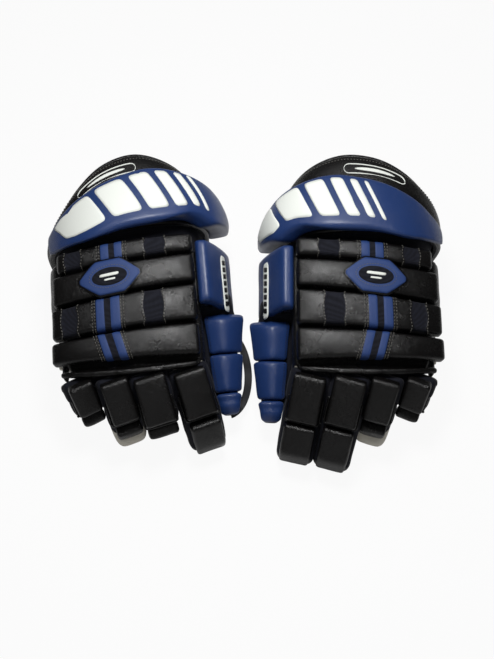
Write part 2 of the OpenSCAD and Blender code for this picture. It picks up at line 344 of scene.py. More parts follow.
def block(size, radius, step, marks=()):
    # a box centred on x and y that stands on z = 0, its edges rounded, with extra cuts in x at marks
    half = [length / 2 for length in size]
    radius = min(radius, 0.98 * min(half))
    bm = bmesh.new()
    bmesh.ops.create_cube(bm, size=1)
    bmesh.ops.scale(bm, vec=size, verts=bm.verts)
    for axis in range(3):
        flat = half[axis] - radius
        count = max(1, round(2 * flat / step))
        spots = [lerp(-flat, flat, k / count) for k in range(1, count)]
        spots += [sign * (flat + radius * share) for sign in (-1, 1) for share in (0, 0.414)]
        if axis == 0 and marks:
            spots = [spot for spot in spots if min(abs(spot - mark) for mark in marks) > 0.35 * step]
            spots += marks
        for spot in sorted(spots):
            point, normal = Vector((0, 0, 0)), Vector((0, 0, 0))
            point[axis], normal[axis] = spot, 1
            bmesh.ops.bisect_plane(bm, geom=bm.verts[:] + bm.edges[:] + bm.faces[:], dist=1e-4,
                                   plane_co=point, plane_no=normal)
    for vert in bm.verts:
        core = Vector([max(radius - h, min(h - radius, c)) for h, c in zip(half, vert.co)])
        out = vert.co - core
        if out.length > 1e-6:
            vert.co = core + out.normalized() * radius
    bmesh.ops.translate(bm, vec=(0, 0, half[2]), verts=bm.verts)
    return bm


def reshape(bm, rule):
    for vert in bm.verts:
        vert.co = rule(vert.co)
    bm.normal_update()


def uneven(bm, amount, size, seed):
    # foam and stuffing are never quite even
    bm.normal_update()
    shift = Vector((seed * 7.31, seed * 3.17, seed * 1.93))
    moves = [amount * noise.noise(vert.co / size + shift) for vert in bm.verts]
    for vert, move in zip(bm.verts, moves):
        vert.co += vert.normal * move


def outward(bm):
    bmesh.ops.recalc_face_normals(bm, faces=bm.faces)


def soften(bm, factor, times):
    for turn in range(times):
        bmesh.ops.smooth_vert(bm, verts=bm.verts, factor=factor,
                              use_axis_x=True, use_axis_y=True, use_axis_z=True)


def sleeve(around, wide, thick, edge):
    # a block with open ends, and half its length, for closeRing to bend round
    bm = block((around, wide, thick), edge, 5)
    flat = around / 2 - edge
    ends = [face for face in bm.faces if abs(face.calc_center_median().x) > flat]
    bmesh.ops.delete(bm, geom=ends, context="FACES")
    return bm, flat


def closeRing(bm, shape):
    reshape(bm, shape)
    bmesh.ops.remove_doubles(bm, verts=bm.verts, dist=0.2)
    outward(bm)


def joined(verts, kind):  # the edges or faces at some vertices, in a fixed order
    return list(dict.fromkeys(part for vert in verts for part in getattr(vert, kind)))


def tube(bm, path, radius, around=8):
    last = len(path) - 1
    before = None
    for k, spot in enumerate(path):
        ahead = path[min(k + 1, last)] - path[max(k - 1, 0)]
        turn = ahead.to_track_quat("Z", "Y").to_matrix().to_4x4()
        ring = bmesh.ops.create_circle(bm, segments=around, radius=radius, cap_ends=k in (0, last),
                                       matrix=Matrix.Translation(spot) @ turn)["verts"]
        edges = joined(ring, "link_edges")
        if before:
            bmesh.ops.bridge_loops(bm, edges=before + edges)
        before = edges


def resample(path, pitch):
    made = [path[0].copy()]
    left = pitch
    for a, b in zip(path, path[1:]):
        length = (b - a).length
        done = 0
        while length - done >= left:
            done += left
            left = pitch
            made.append(a.lerp(b, done / length))
        left -= length - done
    return made


def treeOf(bm):
    bm.normal_update()
    return BVHTree.FromBMesh(bm)


def sew(bm, path, tree, pitch=3.3, long=2.2, thick=0.5):
    # a row of stitches laid on the surface along a path
    spots = resample(path, pitch)
    for a, b in zip(spots, spots[1:]):
        spot, normal = tree.find_nearest(a.lerp(b, 0.5))[:2]
        ahead = (b - a).normalized()
        across = normal.cross(ahead).normalized()
        ahead = across.cross(normal)
        turn = Matrix((ahead * long / 2, across * thick, normal * thick)).transposed().to_4x4()
        bmesh.ops.create_icosphere(bm, subdivisions=1, radius=1,
                                   matrix=Matrix.Translation(spot + normal * 0.1) @ turn)


def patch(bm, size, rule, power, cells, thick, edge, narrow=None, look=0, sink=0.6):
    # a thin sewn-on or printed shape: rule puts a flat place and a height on the surface
    made = bmesh.ops.create_grid(bm, x_segments=cells[0], y_segments=cells[1], size=1)["verts"]
    faces = joined(made, "link_faces")
    flat = {}
    for vert in made:
        u, w = vert.co.x, vert.co.y
        reach = max(abs(u), abs(w))
        if reach > 0:
            inward = reach / (abs(u) ** power + abs(w) ** power) ** (1 / power)
            u, w = u * inward, w * inward
        w *= narrow(abs(u)) if narrow else 1
        flat[vert] = (u * size[0] / 2, w * size[1] / 2)
        vert.co = rule(*flat[vert], thick - edge * reach ** 10)
    grown = bmesh.ops.extrude_face_region(bm, geom=faces, use_keep_orig=True)["geom"]
    lids = [part for part in grown if isinstance(part, bmesh.types.BMVert)]
    for vert in made:
        vert.co = rule(*flat[vert], -sink)
    shape = joined(made + lids, "link_faces")
    for face in shape:
        face.material_index = look
    bmesh.ops.recalc_face_normals(bm, faces=shape)


def toObject(name, bm, side, finish, levels=0):
    for vert in bm.verts:
        vert.co.z = max(vert.co.z, 0.3)  # the underside lies flat on the table
    bmesh.ops.transform(bm, matrix=gloveMatrix(side), verts=bm.verts)
    if side == "right":
        bmesh.ops.reverse_faces(bm, faces=bm.faces)
    mesh = bpy.data.meshes.new(name)
    bm.to_mesh(mesh)
    bm.free()
    mesh.shade_smooth()
    for look in finish:
        mesh.materials.append(looks[look])
    made = bpy.data.objects.new(name, mesh)
    bpy.context.scene.collection.objects.link(made)
    if levels:
        softer = made.modifiers.new("smooth", "SUBSURF")
        softer.levels = levels
        softer.render_levels = levels
    return made


def place(name, bm, side, finish, body, nodes=(), fill=None, levels=0, across=None):
    # makes the piece, on its body and in place of the CAD nodes it stands for; a piece given across is left
    # fixed in the world, on no body
    if body == "cuff":
        bmesh.ops.transform(bm, matrix=cuffTurn(side), verts=bm.verts)
    made = toObject(f"{side}_{name}", bm, side, finish, levels)
    if across:
        other, start, end = across
        turn = gloveMatrix(side)
        turn @ Vector(start)
        turn @ Vector(end)
        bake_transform(made)
    else:
        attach(made, f"{side}_{body}")
    if nodes:
        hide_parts(*[f"{side}_{node}" for node in nodes])


def placePad(name, bm, side, finish, body, fill=0.85):
    place(f"{name}_pad", bm, side, finish, body, [name], fill=fill, levels=1)


# Back of the hand
backRolls = {  # the edges lie between the rolls, from the knuckles to the cuff
    "thumbEdges": (6, 42, 82, 114, 136), "littleEdges": (8, 33, 67, 101, 125),
    "thumbEnd": -69, "littleEnds": (76, 75, 73, 68),
    "gap": 3.4, "thick": 16, "bend": 260, "axis": -10, "edge": 4, "crown": 1.3, "step": 4,
    "bow": 4.2, "lean": 7, "trimShift": {"left": 0, "right": 5.5},
}
rollTrims = {  # roll 1 is next to the cuff, and the stripes of roll 4 lean
    1: {"stripes": ((-4.3, 2.4), (9.2, 16.7)), "lenses": ((-45, -28.8), (39.4, 51.6))},
    2: {"stripes": (), "lenses": ()},
    3: {"stripes": ((0.9, 8.8), (16.3, 23.7)), "lenses": ((-39.7, -24.7), (44.9, 56.6))},
    4: {"stripes": ((-4, 2.6), (10.7, 17.2)), "lenses": ()},
}
onBack = frameAt((0, -54, 79), ("X", 12))


def backPoint(x, y, h):
    bend = backRolls["bend"] + h
    return onBack @ Vector((x, y, sqrt(bend ** 2 - (x - backRolls["axis"]) ** 2) - backRolls["bend"]))


def backRoll(side, n, stitches):
    facts = backRolls
    trim = rollTrims[n]
    low, high = facts["thumbEnd"], facts["littleEnds"][4 - n]
    middle = (low + high) / 2
    front = [facts[key][4 - n] + facts["gap"] / 2 for key in ("thumbEdges", "littleEdges")]
    rear = [facts[key][5 - n] - facts["gap"] / 2 for key in ("thumbEdges", "littleEdges")]
    depth = (sum(rear) - sum(front)) / 2
    thick = facts["thick"]
    shift = facts["trimShift"][side] * (1.6 if n == 4 else 1) - middle
    stripes = [(a + shift, b + shift) for a, b in trim["stripes"]]
    lenses = [(a + shift, b + shift) for a, b in trim["lenses"]]
    marks = [mark for ends in stripes + lenses for mark in ends]
    bm = block((high - low, depth, thick), facts["edge"], facts["step"], marks)
    for face in bm.faces:
        spot = face.calc_center_median()
        if any(a < spot.x < b for a, b in stripes):
            face.material_index = 1
        elif any(a < spot.x < b for a, b in lenses):
            face.material_index = 2
        elif stripes and stripes[0][1] < spot.x < stripes[1][0]:
            face.material_index = 2

    def shape(co):
        v = co.y / depth + 0.5
        x = co.x
        arch = 1 - (2 * v - 1) ** 2
        for a, b in lenses:  # the windows are widest in the middle of the roll
            reach = (x - (a + b) / 2) / ((b - a) / 2)
            pull = abs(reach) if abs(reach) < 1 else max(0, 2 - abs(reach))
            x += copysign(facts["bow"] * (arch - 0.4) * pull, reach)
        if n == 4:
            window = 1 - smooth(14, 34, abs(x - (stripes[0][0] + stripes[1][1]) / 2))
            x += facts["lean"] * (v - 0.5) * window
        share = x / (high - low) + 0.5
        up = co.z / thick
        pinch = 1 - 0.05 * (1 - up) ** 2
        y = lerp(lerp(*front, share), lerp(*rear, share), 0.5 + (v - 0.5) * pinch)
        swell = facts["crown"] * up * arch * (1 - (2 * share - 1) ** 8)
        return backPoint(x + middle, y, co.z + swell)

    # raised stripes and sunk knit windows
    for index, spans, rim, rise in ((1, stripes, 0.35, 0.5), (2, lenses, 0.9, -0.9)):
        for a, b in spans:
            faces = [face for face in bm.faces if face.material_index == index
                     and a < face.calc_center_median().x < b and face.calc_center_median().z > 1.5]
            bmesh.ops.inset_region(bm, faces=faces, thickness=rim, depth=rise,
                                   use_boundary=True, use_even_offset=True)
    reshape(bm, shape)
    uneven(bm, 0.5, 26, n + (5 if side == "left" else 0))
    uneven(bm, 0.16, 7, n + 20)
    tree = treeOf(bm)
    rows = []
    if stripes:
        rows += [stripes[0][0] - 1.6, stripes[0][0] - 4.2, stripes[1][1] + 1.6, stripes[1][1] + 4.2]
    for a, b in lenses:
        rows += [a - 1.5, b + 1.5]
    for x in rows:
        path = [shape(Vector((x, -depth / 2, thick * (0.35 + 0.65 * k / 4)))) for k in range(4)]
        path += [shape(Vector((x, lerp(-depth / 2, depth / 2, k / 12), thick))) for k in range(13)]
        path += [shape(Vector((x, depth / 2, thick * (1 - 0.65 * k / 4)))) for k in range(1, 5)]
        sew(stitches, path, tree)
    placePad(f"backhand_roll_{n}", bm, side, ("black_leather", "stripe_leather", "knit_fabric"), "hand")


badge = {
    "centre": (8.7, 91), "size": (60, 35), "tilt": -6, "oval": (35, 18.6), "height": 17,
    "bars": ((1.6, 19, 3), (-3.2, 11, 1.9)),  # place, length and height
}


def pointed(u):  # six-sided outline: flat above and below, a blunt point at each end
    return 1 - 0.86 * max(0, (u - 0.4) / 0.6) ** 1.12


def addBadge(side, stitches):
    turn = radians(badge["tilt"])
    shift = backRolls["trimShift"][side]

    def rule(x, y, h):
        return backPoint(badge["centre"][0] + shift + x * cos(turn) - y * sin(turn),
                         badge["centre"][1] + x * sin(turn) + y * cos(turn), badge["height"] + h)

    wide, deep = badge["size"]
    bm = bmesh.new()
    patch(bm, (wide + 4, deep + 3.4), rule, 9, (36, 18), 1.2, 0.9, pointed, look=1, sink=3)
    patch(bm, (wide, deep), rule, 9, (36, 18), 2.2, 0.9, pointed)
    patch(bm, badge["oval"], rule, 2, (24, 14), 2.7, 0.5, look=2)
    lean = 0.3 if side == "left" else -0.3
    for y, length, height in badge["bars"]:
        patch(bm, (length, height), lambda x, w, h: rule(x + lean * w, y + w, h),
              6, (8, 4), 3.1, 0.2, look=3)
    ring = [rule(0.58 * badge["oval"][0] * cos(a), 0.62 * badge["oval"][1] * sin(a), 2.4)
            for a in [tau * k / 48 for k in range(49)]]
    sew(stitches, ring, treeOf(bm), 2.6, 1.7, 0.4)
    place("roll_badge", bm, side, ("stripe_leather", "black_leather", "knit_fabric", "white_print"), "hand")


def nodeCopy(side, node):
    # a CAD node's mesh in the glove's own millimetres, its loose triangles joined
    bm = bmesh.new()
    bm.from_mesh(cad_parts[f"{side}_{node}"].data)
    bmesh.ops.transform(bm, matrix=gloveMatrix(side).inverted(), verts=bm.verts)
    if side == "right":
        bmesh.ops.reverse_faces(bm, faces=bm.faces)
    bmesh.ops.remove_doubles(bm, verts=bm.verts, dist=0.01)
    return bm


def remesh(bm, voxel, smoothing):
    mesh = bpy.data.meshes.new("rough")
    bm.to_mesh(mesh)
    bm.free()
    rough = bpy.data.objects.new("rough", mesh)
    bpy.context.scene.collection.objects.link(rough)
    grid = rough.modifiers.new("grid", "REMESH")
    grid.mode = "VOXEL"
    grid.voxel_size = voxel
    ready = rough.evaluated_get(bpy.context.evaluated_depsgraph_get())
    made = bmesh.new()
    made.from_mesh(ready.to_mesh())
    ready.to_mesh_clear()
    bpy.data.objects.remove(rough)
    bpy.data.meshes.remove(mesh)
    soften(made, 0.5, smoothing)
    return made


shell = {"voxel": 2.6, "smoothing": 4, "drawnIn": 9, "knitTop": 66}
knuckleWelt = {"radius": 3.1, "ends": (-65, 69), "arc": 514, "cuts": 40}
lining = {"size": (124, 12, 13), "edge": 4, "deep": 21}


def addShell(side):
    bm = remesh(nodeCopy(side, "back_shell"), shell["voxel"], shell["smoothing"])
    for vert in bm.verts:  # drawn in round the little finger
        vert.co.x -= shell["drawnIn"] * smooth(58, 80, vert.co.x) * smooth(30, -30, vert.co.y)
    uneven(bm, 0.5, 18, 3)
    for face in bm.faces:  # knit sides, leather back
        spot = face.calc_center_median()
        face.material_index = 1 if abs(face.normal.x) > 0.6 and spot.z < shell["knitTop"] else 0
    place("back_shell_cover", bm, side, ("black_leather", "knit_fabric"), "hand", ["back_shell"])


def addKnuckleWelt(side):
    arc, cuts = knuckleWelt["arc"], knuckleWelt["cuts"]
    path = []
    for k in range(cuts + 1):
        x = lerp(*knuckleWelt["ends"], k / cuts)
        y = arc - sqrt((arc + 2.5) ** 2 - x ** 2)
        path.append(backPoint(x, y, 2.6 - 2.5 * (2 * k / cuts - 1) ** 8))  # its ends run down into the shell
    welt = bmesh.new()
    tube(welt, path, knuckleWelt["radius"], 14)
    outward(welt)
    place("knuckle_welt", welt, side, ("black_leather",), "hand", levels=1)


def addKnuckleLining(side):
    # knit strip that closes the forks between the fingers
    bm = block(lining["size"], lining["edge"], 5)
    reshape(bm, lambda co: backPoint(co.x + 1, co.y - 5 - co.x ** 2 / 1000, co.z - lining["deep"]))
    uneven(bm, 0.6, 12, 98)
    place("knuckle_lining", bm, side, ("knit_fabric",), "hand")


palmSkin = {"voxel": 2.4, "smoothing": 3, "rise": 14, "end": 66, "low": 4, "patch": (104, 78), "at": (12, 58)}


def addPalm(side, stitches):
    bm = remesh(nodeCopy(side, "palm"), palmSkin["voxel"], palmSkin["smoothing"])
    uneven(bm, 0.7, 30, 9)
    tree = treeOf(bm)
    slope = frameAt((0, palmSkin["end"], palmSkin["low"]), ("X", -palmSkin["rise"]))

    def under(x, y):  # a place on the palm's underside
        spot = tree.ray_cast(slope @ Vector((x, y, -30)), slope.to_3x3() @ Vector((0, 0, 1)))[0]
        return spot if spot else slope @ Vector((x, y, 0))

    def rule(x, y, h):
        return under(x - palmSkin["at"][0], y - palmSkin["at"][1]) - slope.to_3x3() @ Vector((0, 0, h))

    wide, deep = palmSkin["patch"]
    patch(bm, (wide, deep), rule, 5, (26, 20), 1, 0.6)
    for grow in (0.95, 0.92):  # two rows of stitches
        ring = []
        for k in range(97):
            x, y = cos(tau * k / 96), sin(tau * k / 96)
            reach = grow / 2 / (abs(x) ** 5 + abs(y) ** 5) ** 0.2
            ring.append(rule(wide * reach * x, deep * reach * y, 1))
        sew(stitches, ring, treeOf(bm))
    place("palm_leather", bm, side, ("cream_leather",), "hand", ["palm"])


sideRoll = {  # two outlines seen from the cuff, sideways and up
    "outer": ((-71.2, 2.5), (-74.5, 6.8), (-81.5, 7.6), (-86, 2.5),
              (-93.5, -10), (-102.5, -29), (-107, -44), (-104.5, -51)),
    "inner": ((-71.5, -6.5), (-75, -9.5), (-81.5, -14.6), (-86, -22),
              (-89, -29), (-90.5, -40), (-91.5, -46), (-92, -50)),
    "from": 60.5, "to": 128, "edge": 5, "step": 3.6, "length": 84, "thick": 13,
}
sideLabel = {"size": (60, 7), "at": 0.66, "ticks": 7, "tick": (5.4, 4.2), "pitch": 7.4}


def sideRollPoint(x, y, z):
    facts = sideRoll
    u = x / facts["length"] + 0.5
    spot = lerp(along(facts["inner"], u), along(facts["outer"], u), z / facts["thick"])
    return onBack @ Vector((spot.x, y, spot.y))


def addSideRoll(side):
    facts = sideRoll
    depth = facts["to"] - facts["from"]
    middle = (facts["to"] + facts["from"]) / 2
    thick = facts["thick"]
    bm = block((facts["length"], depth, thick), facts["edge"], facts["step"])
    reshape(bm, lambda co: sideRollPoint(co.x, middle + co.y * (1 - 0.03 * (1 - co.z / thick)), co.z))
    soften(bm, 0.4, 2)
    uneven(bm, 0.45, 20, 31)
    placePad("side_roll", bm, side, ("navy_leather",), "hand")
    # label with plain ticks
    spot = (sideLabel["at"] - 0.5) * facts["length"]

    def rule(x, y, h):
        return sideRollPoint(spot + y, middle - 7 + x, thick + h - 0.1)

    bm = bmesh.new()
    patch(bm, sideLabel["size"], rule, 6, (30, 6), 0.7, 0.4)
    for k in range(sideLabel["ticks"]):
        shift = sideLabel["pitch"] * (k - 3)
        patch(bm, sideLabel["tick"], lambda x, y, h: rule(x + shift + 0.5 * y, y, h),
              6, (4, 3), 1, 0.2, look=1)
    place("side_label", bm, side, ("white_print", "black_leather"), "hand")


# Cuff

def archLine(centre, half, up, down, first, last, count=80):
    # evenly spaced places on an arch between two angles, squarer below than above
    line = []
    for k in range(1441):
        a = radians(lerp(first, last, k / 1440))
        power = 2 / (5 if sin(a) < 0 else 2.3)
        x = copysign(abs(cos(a)) ** power, cos(a))
        z = copysign(abs(sin(a)) ** power, sin(a))
        line.append(Vector((centre[0] + half * x, centre[1] + (down if z < 0 else up) * z)))
    total = sum((b - a).length for a, b in zip(line, line[1:]))
    spots = resample(line, total / count * 0.99999)
    return spots[:count] + [line[-1]]


cuffEdges = {  # seen from above
    "rollFront": ((-106, 68), (-75, 82), (-35, 77.5), (4, 76), (35, 71), (66, 67), (92, 62)),
    "rollRear": ((-106, 112), (-98, 124), (-80, 133), (-40, 141), (-10, 138), (27, 129), (55, 117),
                 (75, 104), (92, 98)),
    "leftRim": ((-90, 132), (-78, 149), (-55, 165), (-20, 174), (15, 170), (45, 157), (70, 139), (92, 118)),
    "rightRim": ((-90, 128), (-78, 144), (-55, 160), (-20, 170), (15, 162), (45, 141), (70, 117), (92, 98)),
}
cuff = {
    "rollHinge": 75, "linerHinge": 81.5, "hingeHeight": 110, "rollLean": 22, "linerLean": 14,
    "thick": 13, "length": 300, "width": 62, "edge": 4.8, "swell": 2.2,
}
rollOuter = archLine((-8, 56), 96, 81, 56, 24, 182.4)
rollInner = archLine((2, 56), 86.2, 68.2, 58, 29.7, 182.4)
linerOuter = archLine((2, 56), 86, 68, 58, -90, 270, 120)
linerInner = archLine((2, 56), 78, 60, 50, -90, 270, 120)


def curveThrough(points, cuts):
    # a smooth line through points, cuts places in each stretch
    points = [Vector(point) for point in points]
    made = []
    for k in range(len(points) - 1):
        a, b = points[max(k - 1, 0)], points[k]
        c, d = points[k + 1], points[min(k + 2, len(points) - 1)]
        for j in range(cuts):
            t = j / cuts
            made.append(0.5 * (2 * b + (c - a) * t + (2 * a - 5 * b + 4 * c - d) * t * t
                               + (3 * b - a - 3 * c + d) * t ** 3))
    return made + [points[-1]]


cuffLines = {key: curveThrough(points, 8) for key, points in cuffEdges.items()}


def across(points, x):  # the height of a line drawn through points, at x
    for (x0, y0), (x1, y1) in zip(points, points[1:]):
        if x <= x1:
            break
    return lerp(y0, y1, max(0, min(1, (x - x0) / (x1 - x0))))


def frontPlane(z, piece):
    return cuff[piece + "Hinge"] - (z - cuff["hingeHeight"]) * tan(radians(cuff[piece + "Lean"]))


def cuffPoint(x, y, z):
    u = 0.5 + x / cuff["length"]
    outer = along(rollOuter, u)
    inner = along(rollInner, u)
    spot = lerp(inner, outer, z / cuff["thick"])
    spot.x += 3 * smooth(0.25, 0, u) * z / cuff["thick"]
    front = max(across(cuffLines["rollFront"], outer.x), frontPlane(spot.y, "roll"))
    front -= 3 * smooth(122, 132, spot.y)
    rear = max(across(cuffLines["rollRear"], outer.x), front + 12)
    return Vector((spot.x, lerp(front, rear, 0.5 + y / cuff["width"]), spot.y))


def cuffSwell(y):
    return 1 + cuff["swell"] / cuff["thick"] * (1 - (2 * y / cuff["width"]) ** 2)


prints = {"lengths": (52, 34, 23, 15, 9, 5), "gap": 7.5, "height": 44, "lean": 19, "start": -122, "at": 2.5}


def addCuffRoll(side):
    bm = block((cuff["length"], cuff["width"], cuff["thick"]), cuff["edge"], 4.6)
    reshape(bm, lambda co: cuffPoint(co.x, co.y, co.z * cuffSwell(co.y)))
    uneven(bm, 0.7, 34, 41 if side == "left" else 44)
    uneven(bm, 0.2, 9, 45)
    placePad("cuff_roll", bm, side, ("navy_leather",), "cuff", 0.8)
    # slanted blocks that get shorter towards the end
    bm = bmesh.new()
    way = 1 if side == "left" else -1
    slant = prints["lean"]
    start = prints["start"]
    for length in prints["lengths"]:
        centre = start + length / 2
        start += length + prints["gap"]

        def rule(x, y, h):
            row = y + prints["at"]
            return cuffPoint(way * (y * slant / prints["height"] - centre - x),
                             row, cuff["thick"] * cuffSwell(row) + h)

        patch(bm, (length, prints["height"]), rule, 9, (max(4, int(length / 2.5)), 12), 0.55, 0.3)
    place("cuff_print", bm, side, ("white_print",), "cuff")


liner = {"around": 480, "wide": 80, "thick": 8, "edge": 3.6, "swell": 2.2, "binding": 3}
pill = {"size": (58, 10), "bar": (38, 3.6), "at": 0.478, "back": 0.8}


def linerPoint(side, u, v, h):
    outer = along(linerOuter, u)
    spot = lerp(along(linerInner, u), outer, h)
    rim = min(across(cuffLines[f"{side}Rim"], outer.x), 140 + 2.1 * outer.y)  # shorter below
    return Vector((spot.x, lerp(frontPlane(spot.y, "liner"), rim, v), spot.y))


def addLiner(side, stitches):
    thick = liner["thick"]
    bm, flat = sleeve(liner["around"], liner["wide"], thick, liner["edge"])
    for face in bm.faces:
        spot = face.calc_center_median()
        face.material_index = 1 if spot.z < thick * 0.4 else 0

    def shape(co):
        u = 0.5 + co.x / (2 * flat)
        v = co.y / liner["wide"] + 0.5
        swell = liner["swell"] * smooth(0.45, 0.7, v) * smooth(1, 0.85, v) if co.z > thick / 2 else 0
        return linerPoint(side, u % 1, v, (co.z + swell) / thick)

    closeRing(bm, shape)
    uneven(bm, 0.6, 24, 51)
    sew(stitches, [linerPoint(side, k / 160 % 1, 0.93, 1) for k in range(161)], treeOf(bm))
    rim = bmesh.new()
    tube(rim, [linerPoint(side, k / 160 % 1, 1, 0.5) for k in range(161)], liner["binding"], 12)
    outward(rim)
    place("cuff_rim_binding", rim, side, ("black_leather",), "cuff", levels=1)
    placePad("cuff_liner", bm, side, ("black_leather", "lining_fabric"), "cuff", 0.7)


def addCuffMark(side):
    # pill-shaped outline with a plain bar in it
    def rule(x, y, h):
        return linerPoint(side, pill["at"] - x / 470, pill["back"] + y / 80, 1.2 + h / liner["thick"])

    wide, deep = pill["size"]
    ring = []
    for k in range(33):
        a = tau * (k + 0.5) / 32
        ring.append(Vector((copysign((wide - deep) / 2, cos(a)) + deep / 2 * cos(a),
                            deep / 2 * sin(a), 0)))
    bm = bmesh.new()
    tube(bm, [rule(*spot) for spot in resample(ring, 1.4)], 0.75, 6)
    patch(bm, pill["bar"], rule, 2, (20, 5), 1, 0.3)
    outward(bm)
    place("cuff_mark", bm, side, ("white_print",), "cuff")


gusset = {"around": 420, "wide": 46, "thick": 2.6, "handEnd": 50, "overlap": 18, "fold": 1.4, "folds": 3.5,
          "sewn": 4.6}
gussetHand = archLine((-6, 50), 74, 45, 34, -90, 270, 120)
gussetCuff = archLine((2, 56), 77.2, 59.2, 49.2, -90, 270, 120)


def addGusset(side):
    # loose knit sleeve between the hand shell and the cuff
    facts = gusset
    bm, flat = sleeve(facts["around"], facts["wide"], facts["thick"], 1.2)
    turn = cuffTurn(side)

    def shape(co):
        u = (0.5 + co.x / (2 * flat)) % 1
        v = co.y / facts["wide"] + 0.5
        front, rear = along(gussetHand, u), along(gussetCuff, u)
        front = Vector((front.x, facts["handEnd"], front.y))
        rear = turn @ Vector((rear.x, frontPlane(rear.y, "liner") + facts["overlap"], rear.y))
        spot = lerp(front, rear, v)
        fold = facts["fold"] * sin(v * tau * facts["folds"]) * smooth(0, 0.2, v) * smooth(1, 0.8, v)
        inward = Vector((-2, 0, 54)) - Vector((spot.x, 0, spot.z))
        sewn = facts["sewn"] * smooth(0.6, 0.85, v)  # the rear end runs into the liner's wall
        return spot + inward.normalized() * (facts["thick"] - co.z - fold - sewn)

    closeRing(bm, shape)
    uneven(bm, 0.7, 14, 95)
    place("wrist_gusset", bm, side, ("knit_fabric",), "hand", levels=1,
          across=("cuff", Vector((0, 60, 90)), Vector((0, 92, 90))))


# Fingers
fingers = {
    "index": {"x": -55, "forward": 4.5, "wide": 33, "first": 47, "second": 46, "tipRoll": 43,
              "droop": (31, 33), "curl": (32, 12), "splay": (15, 13)},
    "middle": {"x": -16, "forward": 9, "wide": 32, "first": 48, "second": 50, "tipRoll": 47,
               "droop": (30, 33), "curl": (85, 13), "splay": (13, 15)},
    "ring": {"x": 18.5, "forward": 9, "wide": 28, "first": 43, "second": 41, "tipRoll": 23,
             "droop": (36, 40), "curl": (64, 56), "splay": (16, 17)},
    "pinky": {"x": 53, "forward": 5, "wide": 25, "first": 33, "second": 28, "tipRoll": 17,
              "droop": (49, 51), "curl": (58, 58), "splay": (22, 22)},
}
fingerCut = {"thick": 13, "edge": 3.4, "step": 4.2, "deep": 24, "opening": 11, "welt": 1.1, "bulge": 16}


def fingerFrames(side, name):
    # places that turn with the hand, the finger and its end
    facts = fingers[name]
    k = sides.index(side)
    height = 79 - 3 - (facts["x"] + 10) ** 2 / 520
    root = frameAt((facts["x"], -54 - facts["forward"], height), ("Z", -facts["splay"][k]))
    first = root @ Matrix.Rotation(radians(facts["droop"][k]), 4, "X")
    return root, first, first @ frameAt((0, -facts["first"], 0), ("X", facts["curl"][k]))


def pucker(x, reach, amount, pitch):
    # small gathers that fade away from a seam at distance 0
    return amount * sin(x * tau / pitch) * exp(-reach / 3)


def roughen(bm, size, seed):
    # soft foam under leather that wrinkles a little
    uneven(bm, 0.45, size, seed)
    uneven(bm, 0.14, 6, seed + 3)


def fingerRoll(side, name):
    facts = fingers[name]
    first = fingerFrames(side, name)[1]
    wide, long, thick = facts["wide"], facts["first"] - 1.4, fingerCut["thick"]
    lean = tan(radians(fingerCut["opening"]))
    bm = block((wide, long, thick - 0.4), fingerCut["edge"], fingerCut["step"])

    def shape(co):
        v = 0.5 - co.y / long
        rear = smooth(0.45, 0, v)
        y = -0.5 - v * long - co.z * lean * rear * 0.92 + 3.2 * smooth(0.3, 0, v)
        narrow = 1 - 0.05 * sin(pi * v) * (1 - co.z / thick) - 0.03 * v
        swell = 0.8 * (1 - (2 * co.x / wide) ** 2) * sin(pi * v) * co.z / thick
        gather = pucker(co.x, 4 * (1 - v) * facts["first"] / 12, 0.35, 3.6) * co.z / thick
        return first @ Vector((co.x * narrow, y, 0.4 + co.z + swell + gather))

    reshape(bm, shape)
    roughen(bm, 19, len(name) + (7 if side == "left" else 0))
    placePad(f"{name}_roll", bm, side, ("black_leather",), name)


def fingerWelt(side, name):
    # folded leather round the far end of the roll, with a small loop at one corner
    first = fingerFrames(side, name)[1]
    half, long = fingers[name]["wide"] / 2, fingers[name]["first"]
    flank = [(half + 0.4, -long * 0.45, 1.4), (half + 0.6, -long * 0.75, 1.5), (half + 0.3, -long + 2.6, 1.8),
             (half - 2.4, -long - 0.3, 2.2)]
    path = flank + [(0, -long - 0.7, 2.6)] + [(-x, y, z) for x, y, z in reversed(flank)]
    welt = bmesh.new()
    tube(welt, [first @ spot for spot in curveThrough(path, 6)], fingerCut["welt"])
    if name != "middle":
        loop = []
        for k in range(13):
            a = pi * (0.15 + 1.5 * k / 12)
            loop.append(first @ Vector((half + 0.4 + 1.2 * cos(a), -long * 0.86 - 3.6 * sin(a),
                                        2.8 + 2.2 * cos(a))))
        tube(welt, loop, 0.8)
    outward(welt)
    place(f"{name}_welt", welt, side, ("black_leather",), name)


def fingerTipRoll(side, name):
    facts = fingers[name]
    second = fingerFrames(side, name)[2]
    wide, long, thick = facts["wide"] - 1.5, facts["tipRoll"], fingerCut["thick"] - 1.2
    bm = block((wide, long - 0.8, thick), fingerCut["edge"], fingerCut["step"])

    def shape(co):
        v = 0.5 - co.y / (long - 0.8)
        fall = 1 - 0.55 * smooth(0.7, 1, v) * smooth(0, 6, 0.25 * long)
        lean = 0.07 * co.z * (1 - v)
        narrow = 1 - 0.07 * smooth(0.5, 1, v)
        swell = 0.9 * (1 - (2 * co.x / wide) ** 2) * sin(pi * v) * co.z / thick
        gather = pucker(co.x, v * long / 3, 0.35, 3.4) * co.z / thick
        return second @ Vector((co.x * narrow, -0.6 - lean - v * (long - 0.8),
                                0.4 + (co.z + swell) * fall + gather))

    reshape(bm, shape)
    roughen(bm, 18, len(name) + (17 if side == "left" else 11))
    placePad(f"{name}_tip_roll", bm, side, ("black_leather",), f"{name}_tip")


def stallLook(bm, deep, noseAt=None, nose=1):
    # knitted sides, palm leather below, and the end in its own leather
    for face in bm.faces:
        spot = face.calc_center_median()
        face.material_index = 1 if spot.z < deep * 0.22 else 0
        if noseAt is not None and spot.y < noseAt:
            face.material_index = nose


